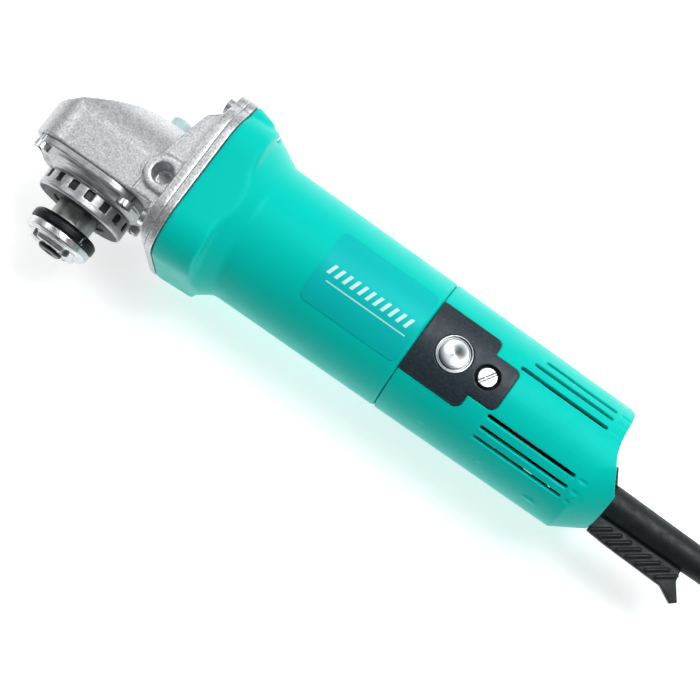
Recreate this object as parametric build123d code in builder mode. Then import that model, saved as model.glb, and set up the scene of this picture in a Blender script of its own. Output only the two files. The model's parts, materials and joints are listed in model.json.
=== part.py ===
from build123d import *
from math import acos, atan2, cos, hypot, pi, radians, sin, sqrt, tan
import os

os.makedirs("parts", exist_ok=True)

# A 100 mm angle grinder, lying on its side.  Millimetres.
# Origin: on the spindle axis, in the outer face of the guard collar.
# +X runs along the motor to the cord, +Y from the wheel side to the top of
# the gear housing (the spindle points along -Y), +Z is the operator's left side.

# ---- overall layout ----
motor_y = 33.4          # motor axis above the guard collar's face
head_front = 28.3       # front of the gear housing, ahead of the spindle
flange_x = 27.5         # front of the gear housing's square flange
plate_x = 31.5          # joint of gear housing and front bearing plate
housing_x = 34.5        # front edge of the plastic motor housing
shoulder_x = 50.0       # where the square big end starts to shrink
shoulder_lean = 3.5     # degrees by which the shoulder leans, later below than on top
barrel_x = 62.0         # where the round barrel starts
seam_x = 133.5          # seam of motor housing and rear cover
cover_end_x = 212.0     # where the rear cover's barrel stops
tail_x = 224.7          # rearmost face of the rear cover
flange_half = 33.3      # half width of the square flange
flange_r = 18.0         # its corner radius
barrel_r = 28.6         # barrel radius at its front
seam_r = 27.9           # barrel radius at the seam
tail_r = 27.0           # rear cover radius at its end
tail_rise = 8.4         # how far the belly rises over the last stretch
gap = 0.1               # running and sliding clearance between pieces
bearing_fit = 0.02      # radial clearance of a shaft in its bearing

# ---- gears ----
module = 1.0
pinion_teeth = 11
gear_teeth = 37
face_width = 5.5
pressure = radians(20)
backlash = 0.30
gear_addendum = 0.65
pinion_addendum = 0.80
dedendum = 1.10

# ---- spindle ----
thread_r = 5.0          # M10 spindle thread
spindle_r = 6.0
spindle_end = -19.0
hub_r = 8.7             # shoulder that the inner flange seats on
inner_flange_r = 13.75
inner_flange_y = -6.6
nut_y = -11.0           # joint of inner flange and lock nut
nut_r = 13.35
nut_rim = 4.1
nut_boss = 2.4
nut_boss_r = 9.6
wheel_boss_r = 7.9      # centring boss for a 16 mm wheel bore
top_journal_r = 4.0
top_bush_r = 6.0
top_bush_y = motor_y + 3.6
top_bush_h = 4.4

# ---- bearing box ----
collar_r = 18.65
collar_lip = 3.2
notch_h = 3.8
notch_w = 3.2
notch_depth = 1.3
notch_count = 16
neck_r = 17.9
box_flange_y = 10.9
joint_y = 13.9          # joint plane of bearing box and gear housing
spindle_bearing_r = 16.0
spindle_bearing_h = 10.0
spindle_bearing_y = 5.2
head_half = 26.6        # half width of the head
head_corner_r = 15.0
box_rear_x = 21.5
box_set_back = 2.0      # the box's flange stops short of the nose
box_screw_x = 18.9
box_screw_mid = -2.8
box_screw_z = 19.6

# ---- gear housing ----
facet_y = motor_y - 4.6  # where the side wall turns into the sloping roof
roof_y = motor_y + 13.9
roof_rear_y = motor_y + 14.4
head_wall = 4.0
gear_room_r = 21.5
block_x = 18.0          # front of the rear block
block_half = 29.4
pad_half = 30.2
handle_x = 22.6         # side handle hole
handle_y = motor_y - 7.9
handle_pad_r = 7.1
handle_hole_r = 4.0     # M8
handle_depth = 11.0
ear_r = 6.6
ear_y = motor_y + 29.6
ear_z = 19.0
low_screw_y = motor_y - 23.5
low_screw_z = 21.5
lip_low = 32.3          # lower edge of the flange at the joint

# ---- spindle lock ----
lock_x = 11.2
lock_z = -1.8
lock_pin_r = 1.5
lock_travel = 2.5
lock_pin_gap = 1.9
lock_cap_r = 4.7
lock_cap_y = motor_y + 19.6
lock_seat_y = motor_y + 10.4
lock_hole_r = 2.0

# ---- motor ----
front_bearing_r = 13.0
front_bearing_w = 8.0
front_bearing_x = 32.0
shaft_r = 5.0
pinion_shaft_r = 3.5
rear_shaft_r = 3.5
rear_bearing_r = 9.5
rear_bearing_w = 6.0
rear_bearing_x = 158.0
sleeve_wall = 1.5
fan_x = 43.0
fan_w = 9.0
fan_r = 25.6
fan_hub_r = 9.0
fan_blades = 11
baffle_x = 62.5         # baffle that guides the air from stator to fan
stator_x = 74.0
stator_l = 40.0
stator_r = 25.3
pole_r = 15.2
yoke_r = 21.0
pole_half_angle = 55.0
armature_r = 14.6
armature_slots = 12
coil_head = 8.0
commutator_x = 136.0
commutator_l = 16.0
commutator_r = 10.5
segments = 24
brush_x = 144.0
brush_w = 6.2
brush_h = 7.8
brush_l = 8.5
spigot_r = 24.8
spigot_end = 168.0
web_x = 156.0
stator_bore_r = 25.4

# ---- side plates and label ----
side_plate_half = 15.0
side_plate_end = 159.9
side_tab_half = 8.9
side_tab_end = 171.3
side_plate_t = 1.6
emblem_x = 147.5
emblem_r = 7.1
plate_screw_x = 162.2
counterbore_r = 4.8
screw_head_r = 3.7
label_start = 88.6
label_end = 131.5
label_half = 15.0
label_t = 0.15

# ---- vents ----
slot_start = 170.0
slot_end = 208.5
slot_w = 1.6
slot_angles = (23.5, 34.5, 44.5)

# ---- switch, cord guard and cord ----
switch_x = 186.0
switch_l = 26.0
switch_y = motor_y + 12.0
rocker_w = 12.0
rocker_angle = 8.0
rocker_r = 8.2
rocker_pin_r = 1.2
plate_screw_seat = 25.7
emblem_seat = 27.0
guard_y = motor_y - 6.1
guard_root_r = 6.7
guard_tip_r = 5.8
guard_length = 66.0
guard_flange_r = 8.2
cord_r = 3.5
floor_z = -flange_half

ear_places = [(side * ear_z, ear_y - motor_y) for side in (-1, 1)]
motor_axis = Axis((0, motor_y, 0), (1, 0, 0))
motor_plane = Plane(origin=(0, motor_y, 0), x_dir=(1, 0, 0), z_dir=(0, 0, 1))


def across(x, y=motor_y):
    # plane square to the motor axis: local x is -Z, local y is +Y
    return Plane(origin=(x, y, 0), x_dir=(0, 0, -1), z_dir=(1, 0, 0))


def level(y):
    # plane square to the spindle: local x is +X, local y is -Z
    return Plane(origin=(0, y, 0), x_dir=(1, 0, 0), z_dir=(0, 1, 0))


def outline(*points):
    # a closed straight-sided face in the sketch that is open
    with BuildLine() as border:
        Polyline(*points, close=True)
    make_face(border.edges())


def ring_sketch(outer, inner):
    Circle(outer)
    Circle(inner, mode=Mode.SUBTRACT)


def flange_face():
    # the square flange with its two ears, in the sketch that is open
    RectangleRounded(2 * flange_half, 2 * flange_half, flange_r)
    with Locations(*ear_places):
        Circle(ear_r)


def bearing(plane, outer, inner, width):
    # a closed ball bearing: two races, two shields and a shallow gap between them
    race = (outer - inner) * 0.22
    with BuildPart() as made:
        with BuildSketch(plane):
            ring_sketch(outer, inner)
        extrude(amount=width)
        for start in (0, width - 0.4):
            with BuildSketch(plane.offset(start)):
                ring_sketch(outer - race, inner + race)
            extrude(amount=0.4, mode=Mode.SUBTRACT)
    return made


def screw(plane, places, head_r, head_h, shank_r, shank_l, slot=True):
    # pan-head screws: the heads stand on the plane, the shanks go down behind it
    with BuildPart() as made:
        with BuildSketch(plane):
            with Locations(*places):
                Circle(head_r)
        extrude(amount=head_h)
        with BuildSketch(plane):
            with Locations(*places):
                Circle(shank_r)
        extrude(amount=-shank_l)
        with BuildSketch(plane.offset(head_h)):
            with Locations(*places):
                Rectangle(1.7 * head_r, 0.9)
                if not slot:
                    Rectangle(0.9, 1.7 * head_r)
        extrude(amount=-0.45 * head_h, mode=Mode.SUBTRACT)
    return made


# =====================================================================
# head: gear housing, bearing box and their screws
# =====================================================================
box_screw_places = [
    (box_screw_mid + side * box_screw_x, up * box_screw_z) for side in (-1, 1) for up in (-1, 1)
]
flange_screw_places = ear_places + [
    (side * low_screw_z, low_screw_y - motor_y) for side in (-1, 1)
]


with BuildPart() as gear_housing:
    # plan of the head, raised to the full height
    with BuildSketch(level(joint_y)):
        with Locations(((plate_x - head_front) / 2, 0)):
            RectangleRounded(plate_x + head_front, 2 * head_half, head_corner_r)
    extrude(amount=roof_rear_y - joint_y)
    # side view: the roof climbs from the nose to the rear block
    with BuildSketch(Plane.XY):
        with BuildLine():
            Line((-head_front - 1, joint_y - 1), (-head_front - 1, facet_y - 2.0))
            Spline(
                (-head_front - 1, facet_y - 2.0),
                (-25.0, motor_y - 4.2),
                (-18.0, motor_y + 0.4),
                (-9.2, motor_y + 6.7),
                (0.0, motor_y + 11.9),
                (9.0, roof_y + 0.3),
                (plate_x + 1, roof_rear_y),
                tangents=((1.0, 0.9), (1, 0.02)),
            )
            Line((plate_x + 1, roof_rear_y), (plate_x + 1, joint_y - 1))
            Line((plate_x + 1, joint_y - 1), (-head_front - 1, joint_y - 1))
        make_face()
    extrude(amount=head_half + 1, both=True, mode=Mode.INTERSECT)
    # front view: upright sides, then a sloping, rounded roof
    with BuildSketch(across(-head_front - 2, 0)):
        with BuildLine():
            Line((-head_half - 1, joint_y - 1), (head_half + 1, joint_y - 1))
            Line((head_half + 1, joint_y - 1), (head_half, facet_y))
            ThreePointArc((head_half, facet_y), (18.2, motor_y + 9.2), (8.0, roof_rear_y))
            Line((8.0, roof_rear_y), (-8.0, roof_rear_y))
            ThreePointArc((-8.0, roof_rear_y), (-18.2, motor_y + 9.2), (-head_half, facet_y))
            Line((-head_half, facet_y), (-head_half - 1, joint_y - 1))
        make_face()
    extrude(amount=plate_x + head_front + 4, mode=Mode.INTERSECT)
    # rear block that spreads out to the flange
    with BuildSketch(Plane.XY):
        outline(
            (block_x - 1.6, joint_y),
            (block_x, motor_y),
            (block_x + 2.3, motor_y + 11.5),
            (block_x + 4.5, motor_y + 20.0),
            (block_x + 8.2, motor_y + 23.0),
            (flange_x + 0.5, motor_y + 24.6),
            (plate_x, motor_y + 28.6),
            (plate_x, motor_y - 27.0),
            (flange_x, motor_y - 25.0),
            (flange_x - 2.5, joint_y),
        )
    extrude(amount=block_half, both=True)
    # square flange with its two ears and a chamfered lower lip
    with BuildSketch(across(flange_x)):
        flange_face()
    extrude(amount=plate_x - flange_x)
    # everything stays inside the flange's rounded square, except the ears
    with BuildSketch(across(-head_front - 2)):
        flange_face()
    extrude(amount=plate_x + head_front + 2, mode=Mode.INTERSECT)
    # the flange's lower edge slopes back under the motor
    with BuildSketch(Plane.XY):
        outline(
            (flange_x - 1, motor_y - 28.6),
            (plate_x, motor_y - lip_low),
            (plate_x, motor_y - flange_half - 1),
            (flange_x - 1, motor_y - flange_half - 1),
        )
    extrude(amount=flange_half, both=True, mode=Mode.SUBTRACT)
    # side handle pads
    for side in (-1, 1):
        with BuildSketch(Plane.XY.offset(side * (block_half - 4))):
            with Locations((handle_x, handle_y)):
                Circle(handle_pad_r)
            with Locations(((handle_x + plate_x) / 2, handle_y)):
                Rectangle(plate_x - handle_x, 2 * handle_pad_r)
        extrude(amount=side * (pad_half - block_half + 4))
    # gear chamber, open downward, with the top bush's boss left in the roof
    with BuildSketch(level(joint_y)):
        Circle(gear_room_r)
    extrude(amount=facet_y - 1.5 - joint_y, mode=Mode.SUBTRACT)
    with BuildSketch(Plane.XY):
        outline(
            (top_bush_r + 2.0, facet_y - 1.5),
            (gear_room_r, facet_y - 1.5),
            (gear_room_r - 0.9, facet_y - 0.4),
            (16.8, motor_y - 1.2),
            (12.0, motor_y + 2.6),
            (top_bush_r + 2.0, motor_y + 5.2),
        )
    revolve(axis=Axis.Y, mode=Mode.SUBTRACT)
    with BuildSketch(level(facet_y - 1.5)):
        Circle(top_bush_r + 2.6)
    extrude(amount=top_bush_y - facet_y + 1.5, mode=Mode.SUBTRACT)
    # seat for the top bush
    with BuildSketch(level(top_bush_y)):
        Circle(top_bush_r)
    extrude(amount=top_bush_h, mode=Mode.SUBTRACT)
    # way in for the pinion, then the front bearing's seat
    with BuildSketch(across(8.0)):
        Circle(8.2)
    extrude(amount=plate_x - 8.0, mode=Mode.SUBTRACT)
    with BuildSketch(across(plate_x - 2.0)):
        Circle(front_bearing_r + 3.0)
    extrude(amount=2.0, mode=Mode.SUBTRACT)
    # spindle lock bore through the roof, wide above for button and spring
    with BuildSketch(level(motor_y)):
        with Locations((lock_x, -lock_z)):
            Circle(lock_pin_r + gap / 2)
    extrude(amount=20, mode=Mode.SUBTRACT)
    with BuildSketch(level(lock_seat_y)):
        with Locations((lock_x, -lock_z)):
            Circle(lock_cap_r + gap)
    extrude(amount=12, mode=Mode.SUBTRACT)
    # side handle holes
    for side in (-1, 1):
        with Locations(Plane(origin=(handle_x, handle_y, side * pad_half), z_dir=(0, 0, side))):
            Hole(handle_hole_r, depth=handle_depth)
    # screw holes: four up from the bearing box, four through the flange
    with BuildSketch(level(joint_y)):
        with Locations(*box_screw_places):
            Circle(2.0)
    extrude(amount=10.0, mode=Mode.SUBTRACT)
    with BuildSketch(across(flange_x - 1)):
        with Locations(*flange_screw_places):
            Circle(2.2)
    extrude(amount=plate_x - flange_x + 2, mode=Mode.SUBTRACT)
    # head clearance in front of each flange screw
    with BuildSketch(across(flange_x)):
        with Locations(*flange_screw_places):
            Circle(4.0)
    extrude(amount=-14, mode=Mode.SUBTRACT)

with BuildPart() as bearing_box:
    # flange under the head
    with BuildSketch(level(box_flange_y)):
        with Locations(((box_rear_x - head_front) / 2 + box_set_back / 2, 0)):
            RectangleRounded(
                box_rear_x + head_front - box_set_back, 2 * head_half - 1, head_corner_r - 0.5
            )
    extrude(amount=joint_y - box_flange_y)
    # neck, notch band and lip, turned
    with BuildSketch(Plane.XY):
        outline(
            (0, 0),
            (collar_r - 0.5, 0),
            (collar_r, 0.5),
            (collar_r, collar_lip + notch_h),
            (neck_r, collar_lip + notch_h + 0.8),
            (neck_r, collar_lip + notch_h + 1.4),
            (neck_r + 2.2, box_flange_y - 0.9),
            (neck_r + 5.2, box_flange_y + 0.5),
            (neck_r + 5.2, joint_y),
            (gear_room_r - gap, joint_y),
            (gear_room_r - gap, joint_y + 2.4),
            (0, joint_y + 2.4),
        )
    revolve(axis=Axis.Y)
    # guard index notches round the band
    with BuildSketch(level(collar_lip)):
        with PolarLocations(collar_r, notch_count, start_angle=360 / notch_count / 2):
            Rectangle(2 * notch_depth, notch_w)
    extrude(amount=notch_h, mode=Mode.SUBTRACT)
    # through bore, bearing seat and seal seat
    with BuildSketch(Plane.XY):
        outline(
            (0, -1),
            (hub_r + 3.0, -1),
            (hub_r + 3.0, spindle_bearing_y - 1.4),
            (spindle_bearing_r - 1.6, spindle_bearing_y - 1.4),
            (spindle_bearing_r - 1.6, spindle_bearing_y),
            (spindle_bearing_r, spindle_bearing_y),
            (spindle_bearing_r, joint_y + 4),
            (0, joint_y + 4),
        )
    revolve(axis=Axis.Y, mode=Mode.SUBTRACT)
    # screw holes through the flange
    with BuildSketch(level(box_flange_y)):
        with Locations(*box_screw_places):
            Circle(2.2)
    extrude(amount=joint_y - box_flange_y, mode=Mode.SUBTRACT)

box_screws = screw(
    level(box_flange_y).rotated((180, 0, 0)),
    [(x, -y) for x, y in box_screw_places],
    3.3, 2.4, 2.0, 12.0, slot=False,
)
flange_screws = screw(
    across(flange_x).rotated((0, 180, 0)),
    [(-x, y) for x, y in flange_screw_places],
    3.5, 3.0, 2.1, 20.0, slot=False,
)

with BuildPart() as bearing_retainer:
    with BuildSketch(level(spindle_bearing_y + spindle_bearing_h)):
        ring_sketch(spindle_bearing_r - gap, 11.5)
    extrude(amount=joint_y + 2.4 - spindle_bearing_y - spindle_bearing_h)

spindle_bearing = bearing(
    level(spindle_bearing_y), spindle_bearing_r, spindle_r + bearing_fit, spindle_bearing_h
)

with BuildPart() as dust_seal:
    with BuildSketch(level(0.8)):
        ring_sketch(hub_r + 3.0, hub_r + gap)
    extrude(amount=2.4)

with BuildPart() as top_bush:
    with BuildSketch(level(top_bush_y)):
        ring_sketch(top_bush_r, top_journal_r + gap / 4)
    extrude(amount=top_bush_h)

# =====================================================================
# spindle, ring gear, inner flange and lock nut
# =====================================================================
pitch_pinion = module * pinion_teeth / 2
pitch_gear = module * gear_teeth / 2
cone = hypot(pitch_pinion, pitch_gear)
pinion_cone = atan2(pitch_pinion, pitch_gear)
gear_cone = atan2(pitch_gear, pitch_pinion)
inner_share = 1 - face_width / cone
gear_back_y = motor_y - pitch_pinion - 5.0
gear_hub_y = gear_back_y - 1.6
gear_bore_r = spindle_r

with BuildPart() as spindle:
    with BuildSketch(Plane.XY):
        outline(
            (0, spindle_end),
            (thread_r - 0.8, spindle_end),
            (thread_r, spindle_end + 0.8),
            (thread_r, inner_flange_y),
            (hub_r - 0.4, inner_flange_y),
            (hub_r, inner_flange_y + 0.4),
            (hub_r, spindle_bearing_y - 1.2),
            (spindle_r + 2.0, spindle_bearing_y - 1.2),
            (spindle_r + 2.0, spindle_bearing_y),
            (spindle_r, spindle_bearing_y),
            (spindle_r, motor_y - 5.0),
            (top_journal_r, motor_y - 3.4),
            (top_journal_r, top_bush_y + top_bush_h - 0.8),
            (top_journal_r - 0.5, top_bush_y + top_bush_h - 0.3),
            (0, top_bush_y + top_bush_h - 0.3),
        )
    revolve(axis=Axis.Y)
    # centre drilling in the threaded end
    with BuildSketch(level(spindle_end)):
        Circle(2.0)
    extrude(amount=5.0, mode=Mode.SUBTRACT)
    # two wrench flats on the hub
    for side in (-1, 1):
        with BuildSketch(level(inner_flange_y + 1.2)):
            with Locations((0, side * (hub_r + 2.0))):
                Rectangle(2 * hub_r, 5.6)
        extrude(amount=4.6, mode=Mode.SUBTRACT)

with BuildPart() as inner_flange:
    with BuildSketch(Plane.XY):
        outline(
            (thread_r, nut_y - 1.9),
            (wheel_boss_r - 0.3, nut_y - 1.9),
            (wheel_boss_r, nut_y - 1.6),
            (wheel_boss_r, nut_y + 0.3),
            (wheel_boss_r + 2.4, nut_y + 0.3),
            (wheel_boss_r + 2.4, nut_y),
            (inner_flange_r - 0.4, nut_y),
            (inner_flange_r, nut_y + 0.4),
            (inner_flange_r, inner_flange_y - 1.6),
            (inner_flange_r - 0.5, inner_flange_y - 0.7),
            (inner_flange_r - 1.6, inner_flange_y),
            (thread_r, inner_flange_y),
        )
    revolve(axis=Axis.Y)

with BuildPart() as lock_nut:
    with BuildSketch(Plane.XY):
        outline(
            (thread_r, nut_y - nut_rim - nut_boss),
            (nut_boss_r - 0.5, nut_y - nut_rim - nut_boss),
            (nut_boss_r, nut_y - nut_rim - nut_boss + 0.5),
            (nut_boss_r + 0.4, nut_y - nut_rim - 0.4),
            (nut_boss_r + 1.0, nut_y - nut_rim),
            (nut_r - 1.2, nut_y - nut_rim),
            (nut_r, nut_y - nut_rim + 1.2),
            (nut_r, nut_y - 0.4),
            (nut_r - 0.4, nut_y),
            (wheel_boss_r + 0.4, nut_y),
            (wheel_boss_r + 0.4, nut_y - 2.2),
            (thread_r, nut_y - 2.2),
        )
    revolve(axis=Axis.Y)
    # four pin holes for the face spanner
    with BuildSketch(level(nut_y - nut_rim - nut_boss)):
        with PolarLocations(nut_boss_r - 1.4, 4, start_angle=45):
            SlotCenterToCenter(1.6, 3.0)
    extrude(amount=nut_boss + 1.0, mode=Mode.SUBTRACT)

# one gear tooth: a wedge that narrows towards the apex, where both axes cross
with BuildPart() as gear_tooth:
    tooth_plane = Plane(
        origin=(pitch_gear, motor_y - pitch_pinion, 0),
        x_dir=(0, 0, -1),
        z_dir=(pitch_gear, -pitch_pinion, 0),
    )
    half = pi * module / 4 - backlash / 2
    top = half - gear_addendum * tan(pressure)
    foot = half + (dedendum + 0.5) * tan(pressure)
    depth = dedendum + 0.5
    profile = [(-foot, -depth), (foot, -depth), (top, gear_addendum), (-top, gear_addendum)]
    with BuildSketch(tooth_plane):
        outline(*profile)
    with BuildSketch(tooth_plane.offset(-face_width)):
        outline(*[(u * inner_share, v * inner_share) for u, v in profile])
    loft()

with BuildPart() as ring_gear:
    root_angle = gear_cone - dedendum / cone
    outer_r = cone * sin(root_angle)
    outer_y = motor_y - cone * cos(root_angle)
    inner_r = outer_r * inner_share
    inner_y = motor_y - (motor_y - outer_y) * inner_share
    with BuildSketch(Plane.XY):
        outline(
            (gear_bore_r, gear_hub_y),
            (gear_bore_r + 3.0, gear_hub_y),
            (gear_bore_r + 3.0, gear_back_y),
            (outer_r - 1.5, gear_back_y),
            (outer_r + 0.6, outer_y - 1.4),
            (outer_r, outer_y),
            (inner_r, inner_y),
            (inner_r - 0.8, inner_y - 1.6),
            (gear_bore_r, inner_y - 1.6),
        )
    revolve(axis=Axis.Y)
    # a tooth gap faces the pinion at rest
    add([gear_tooth.part.rotate(Axis.Y, (i + 0.5) * 360 / gear_teeth) for i in range(gear_teeth)])
    # holes in the web that the lock pin drops into
    lock_circle = hypot(lock_x, lock_z)
    with BuildSketch(level(gear_back_y)):
        with PolarLocations(lock_circle, 6):
            Circle(lock_hole_r)
    extrude(amount=12, mode=Mode.SUBTRACT)

# =====================================================================
# spindle lock: button, pin and return spring
# =====================================================================
web_top_y = inner_y - 1.6
lock_pin_low = web_top_y + lock_travel + lock_pin_gap
spring_r = 3.2
spring_wire = 0.7

with BuildPart() as lock_button:
    with BuildSketch(level(lock_cap_y - 6.4)):
        with Locations((lock_x, -lock_z)):
            Circle(lock_cap_r)
    extrude(amount=6.4)
    fillet(lock_button.edges().group_by(Axis.Y)[-1], 1.4)
    with BuildSketch(level(lock_cap_y - 6.4)):
        with Locations((lock_x, -lock_z)):
            Circle(lock_cap_r - 1.2)
    extrude(amount=4.2, mode=Mode.SUBTRACT)
    with BuildSketch(level(lock_cap_y - 2.2)):
        with Locations((lock_x, -lock_z)):
            Circle(lock_pin_r + 0.9)
    extrude(amount=-4.0)
    with BuildSketch(level(lock_cap_y - 6.4)):
        with Locations((lock_x, -lock_z)):
            Circle(lock_pin_r)
    extrude(amount=3.4, mode=Mode.SUBTRACT)

with BuildPart() as lock_pin:
    with BuildSketch(level(lock_pin_low)):
        with Locations((lock_x, -lock_z)):
            Circle(lock_pin_r)
    extrude(amount=lock_cap_y - 3.0 - lock_pin_low)

with BuildPart() as lock_spring:
    spring_h = lock_cap_y - 2.2 - lock_seat_y
    with BuildLine() as coil_line:
        Helix(
            pitch=(spring_h - spring_wire - 0.2) / 5,
            height=spring_h - spring_wire - 0.2,
            radius=spring_r - spring_wire / 2 - 0.1,
            center=(lock_x, lock_seat_y + spring_wire / 2 + 0.1, lock_z),
            direction=(0, 1, 0),
        )
    with BuildSketch(Plane(origin=coil_line.line @ 0, z_dir=coil_line.line % 0)):
        Circle(spring_wire / 2)
    sweep()

# =====================================================================
# armature: shaft, pinion, fan, core, winding, commutator and bearings
# =====================================================================
pinion_tip_x = pitch_gear * inner_share
pinion_hub_end = front_bearing_x - 0.1
pinion_bore_start = pitch_gear - 1.0
front_bearing_end = front_bearing_x + front_bearing_w
rear_bearing_end = rear_bearing_x + rear_bearing_w


def pinion_outline(scale):
    # involute flanks on the equivalent spur gear, laid back onto the pitch cone
    pitch = pitch_pinion / cos(pinion_cone)
    base = pitch * cos(pressure)
    half_pitch = (pi * module / 4 - backlash / 2) / pitch
    points = []
    for tooth in range(pinion_teeth):
        middle = -pi / 2 + tooth * 2 * pi / pinion_teeth
        side = []
        for radius in (pitch - dedendum, base, pitch - 0.15, pitch + 0.3, pitch + pinion_addendum):
            flank = acos(min(1.0, base / radius))
            roll = half_pitch + (tan(pressure) - pressure) - (tan(flank) - flank)
            lean = pinion_cone + (radius - pitch) / cone
            spread = radius * roll / (cone * sin(lean))
            side.append((pitch_gear * tan(lean) * scale, spread))
        points += [(r * cos(middle - a), r * sin(middle - a)) for r, a in side]
        points += [(r * cos(middle + a), r * sin(middle + a)) for r, a in reversed(side)]
    return points


with BuildPart() as pinion:
    with BuildSketch(across(pitch_gear)):
        outline(*pinion_outline(1.0))
    with BuildSketch(across(pinion_tip_x)):
        outline(*pinion_outline(inner_share))
    loft(ruled=True)
    # a neck clears the ring gear's rim, then the hub
    with BuildSketch(across(pitch_gear)):
        Circle(pinion_shaft_r + 0.8)
    extrude(amount=1.2)
    with BuildSketch(across(pitch_gear + 1.2)):
        Circle(pitch_pinion + 0.6)
    extrude(amount=pinion_hub_end - pitch_gear - 1.2)
    with BuildSketch(across(pinion_bore_start)):
        Circle(pinion_shaft_r)
    extrude(amount=pinion_hub_end - pinion_bore_start, mode=Mode.SUBTRACT)

with BuildPart() as armature_shaft:
    with BuildSketch(motor_plane):
        outline(
            (pinion_bore_start + 0.2, 0),
            (pinion_bore_start + 0.2, pinion_shaft_r),
            (pinion_hub_end, pinion_shaft_r),
            (pinion_hub_end, shaft_r),
            (rear_bearing_x, shaft_r),
            (rear_bearing_x, rear_shaft_r),
            (rear_bearing_end + 0.6, rear_shaft_r),
            (rear_bearing_end + 0.6, 0),
        )
    revolve(axis=motor_axis)

front_bearing = bearing(
    across(front_bearing_x), front_bearing_r, shaft_r + bearing_fit, front_bearing_w
)
rear_bearing = bearing(
    across(rear_bearing_x), rear_bearing_r, rear_shaft_r + bearing_fit, rear_bearing_w
)

with BuildPart() as rear_bearing_sleeve:
    with BuildSketch(across(rear_bearing_x)):
        ring_sketch(rear_bearing_r + sleeve_wall, rear_bearing_r)
    extrude(amount=rear_bearing_w + 1.5)
    with BuildSketch(across(rear_bearing_end + 0.8)):
        ring_sketch(rear_bearing_r + sleeve_wall, rear_bearing_r - 2.5)
    extrude(amount=0.7)

with BuildPart() as fan:
    with BuildSketch(across(fan_x)):
        ring_sketch(fan_hub_r, shaft_r)
    extrude(amount=fan_w)
    with BuildSketch(across(fan_x)):
        ring_sketch(fan_r, shaft_r)
    extrude(amount=1.6)
    with BuildSketch(across(fan_x)):
        with PolarLocations(0, fan_blades):
            with Locations(Location(((fan_hub_r + fan_r) / 2 - 0.6, 0), 14)):
                Rectangle(fan_r - fan_hub_r - 0.4, 1.5)
    extrude(amount=fan_w)

with BuildPart() as armature_core:
    with BuildSketch(across(stator_x)):
        ring_sketch(armature_r, shaft_r)
        with PolarLocations(armature_r - 3.4, armature_slots):
            SlotCenterToCenter(2.4, 3.2, mode=Mode.SUBTRACT)
        with PolarLocations(armature_r - 0.4, armature_slots):
            Rectangle(2.0, 1.4, mode=Mode.SUBTRACT)
    extrude(amount=stator_l)

with BuildPart() as armature_winding:
    winding_r = armature_r - 1.4
    for start, length in ((stator_x - 9.0, 9.0), (stator_x + stator_l, 10.0)):
        with BuildSketch(across(start)):
            ring_sketch(winding_r - 0.4, shaft_r + 0.3)
        extrude(amount=length)
    # the conductors that run through the core's slots
    with BuildSketch(across(stator_x)):
        with PolarLocations(armature_r - 3.4, armature_slots):
            SlotCenterToCenter(2.2, 2.9)
    extrude(amount=stator_l)

with BuildPart() as commutator:
    with BuildSketch(across(commutator_x)):
        ring_sketch(commutator_r, shaft_r)
        with PolarLocations(commutator_r, segments):
            Rectangle(1.6, 0.4, mode=Mode.SUBTRACT)
    extrude(amount=commutator_l)
    with BuildSketch(across(commutator_x - 3.0)):
        ring_sketch(commutator_r + 1.2, shaft_r)
        with PolarLocations(commutator_r + 1.2, segments):
            Rectangle(1.6, 0.5, mode=Mode.SUBTRACT)
    extrude(amount=3.0)

# =====================================================================
# stator, its coils and the fan baffle
# =====================================================================
def sector(inner, outer, start, sweep_angle):
    # a piece of a flat ring, in degrees counter-clockwise from the local x axis
    with BuildLine() as border:
        CenterArc((0, 0), outer, start, sweep_angle)
        CenterArc((0, 0), inner, start, sweep_angle)
        Line(
            (inner * cos(radians(start)), inner * sin(radians(start))),
            (outer * cos(radians(start)), outer * sin(radians(start))),
        )
        Line(
            (inner * cos(radians(start + sweep_angle)), inner * sin(radians(start + sweep_angle))),
            (outer * cos(radians(start + sweep_angle)), outer * sin(radians(start + sweep_angle))),
        )
    make_face(border.edges())


with BuildPart() as stator_core:
    with BuildSketch(across(stator_x)):
        ring_sketch(stator_r, yoke_r)
        for pole in (90, 270):
            sector(pole_r, yoke_r + 0.5, pole - pole_half_angle, 2 * pole_half_angle)
    extrude(amount=stator_l)

stator_coils = []
for pole in (90, 270):
    with BuildPart() as coil:
        leg = 90 - pole_half_angle - 3
        with BuildSketch(across(stator_x - coil_head)):
            for start in (pole - 90 + 1.5, pole + 90 - 1.5 - leg):
                sector(pole_r + 1.2, yoke_r - 0.4, start, leg)
        extrude(amount=stator_l + 2 * coil_head)
        for start in (stator_x - coil_head, stator_x + stator_l + 1.0):
            with BuildSketch(across(start)):
                sector(pole_r + 1.2, yoke_r - 0.4, pole - 90 + 1.5, 177)
            extrude(amount=coil_head - 1.0)
    stator_coils.append(coil.part)

with BuildPart() as stator_winding:
    add(stator_coils)

with BuildPart() as fan_baffle:
    with BuildSketch(motor_plane):
        outline(
            (baffle_x - 1.0, 16.0),
            (baffle_x - 1.0, 17.6),
            (baffle_x + 0.6, 19.0),
            (baffle_x + 0.6, stator_bore_r - gap),
            (baffle_x + 2.2, stator_bore_r - gap),
            (baffle_x + 2.2, 18.0),
            (baffle_x + 0.6, 16.0),
        )
    revolve(axis=motor_axis)

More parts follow.
